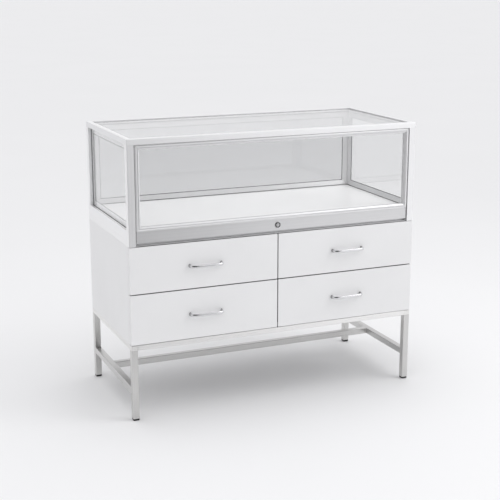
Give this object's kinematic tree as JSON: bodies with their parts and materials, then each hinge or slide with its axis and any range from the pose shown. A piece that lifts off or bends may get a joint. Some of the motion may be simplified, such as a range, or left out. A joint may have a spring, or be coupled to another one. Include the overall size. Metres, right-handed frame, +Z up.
{
  "type": "glass display case",
  "caption": "Counter-height shop display case: a top-hung lockable glass showcase over a white drawer cabinet on a square-tube steel stand.",
  "frame": {"origin": "on the floor, under the middle of the object's box, pull handles included", "axes": "+X to the viewer's right along the front, +Y from the front to the back, +Z up"},
  "size_m": [1.2, 0.58, 1.08],
  "materials": {
    "stand_steel": "brushed",
    "glide_plastic": "matte black",
    "white_board": "white laminate on board, satin",
    "drawer_board": "white laminate on board, matt",
    "runner_plastic": "grey",
    "case_aluminium": "satin anodised",
    "clear_glass": "clear, polished edges",
    "handle_chrome": "satin chrome",
    "lock_chrome": "bright chrome",
    "pin_steel": "zinc plated"
  },
  "bodies": {
    "case": {"left_end_frame": "stand_steel", "right_end_frame": "stand_steel", "front_apron_rail": "stand_steel", "rear_apron_rail": "stand_steel", "cross_stretcher": "stand_steel", "glide_front_left": "glide_plastic", "glide_front_right": "glide_plastic", "glide_rear_left": "glide_plastic", "glide_rear_right": "glide_plastic", "cabinet_left_side": "white_board", "cabinet_right_side": "white_board", "cabinet_bottom": "white_board", "cabinet_top": "white_board", "cabinet_back": "white_board", "cabinet_divider": "white_board", "runner_lower_left_l": "runner_plastic", "runner_lower_left_r": "runner_plastic", "runner_lower_right_l": "runner_plastic", "runner_lower_right_r": "runner_plastic", "runner_upper_left_l": "runner_plastic", "runner_upper_left_r": "runner_plastic", "runner_upper_right_l": "runner_plastic", "runner_upper_right_r": "runner_plastic", "case_post_front_left": "case_aluminium", "case_post_front_right": "case_aluminium", "case_post_rear_left": "case_aluminium", "case_post_rear_right": "case_aluminium", "case_sill_left": "case_aluminium", "case_sill_right": "case_aluminium", "case_sill_rear": "case_aluminium", "case_sill_front": "case_aluminium", "case_top_frame": "case_aluminium", "glass_top": "clear_glass", "glass_left": "clear_glass", "glass_right": "clear_glass", "glass_rear": "clear_glass", "glazing_bead_left": "case_aluminium", "glazing_bead_right": "case_aluminium", "glazing_bead_rear": "case_aluminium", "display_deck": "white_board", "door_pivot_left": "pin_steel", "door_pivot_right": "pin_steel"},
    "drawer_lower_left": {"drawer_front_lower_left": "white_board", "drawer_box_lower_left": "drawer_board", "drawer_handle_lower_left": "handle_chrome"},
    "drawer_lower_right": {"drawer_front_lower_right": "white_board", "drawer_box_lower_right": "drawer_board", "drawer_handle_lower_right": "handle_chrome"},
    "drawer_upper_left": {"drawer_front_upper_left": "white_board", "drawer_box_upper_left": "drawer_board", "drawer_handle_upper_left": "handle_chrome"},
    "drawer_upper_right": {"drawer_front_upper_right": "white_board", "drawer_box_upper_right": "drawer_board", "drawer_handle_upper_right": "handle_chrome"},
    "door": {"door_frame": "case_aluminium", "door_glass": "clear_glass", "door_lock_rail": "case_aluminium", "lock_body": "lock_chrome"},
    "lock_cylinder": {"lock_plug": "lock_chrome", "lock_cam": "pin_steel"}
  },
  "joints": [
    {"name": "drawer_lower_left_slide", "type": "slide", "parent": "case", "child": "drawer_lower_left", "axis": [0, -1, 0], "range_m": [0, 0.34]},
    {"name": "drawer_lower_right_slide", "type": "slide", "parent": "case", "child": "drawer_lower_right", "axis": [0, -1, 0], "range_m": [0, 0.34]},
    {"name": "drawer_upper_left_slide", "type": "slide", "parent": "case", "child": "drawer_upper_left", "axis": [0, -1, 0], "range_m": [0, 0.34]},
    {"name": "drawer_upper_right_slide", "type": "slide", "parent": "case", "child": "drawer_upper_right", "axis": [0, -1, 0], "range_m": [0, 0.34]},
    {"name": "door_hinge", "type": "hinge", "parent": "case", "child": "door", "pos_m": [0, -0.2535, 1.05062], "axis": [-1, 0, 0], "range_deg": [0, 90]},
    {"name": "lock_turn", "type": "hinge", "parent": "door", "child": "lock_cylinder", "pos_m": [0, -0.259, 0.7135], "axis": [0, 1, 0], "range_deg": [0, 90]}
  ]
}
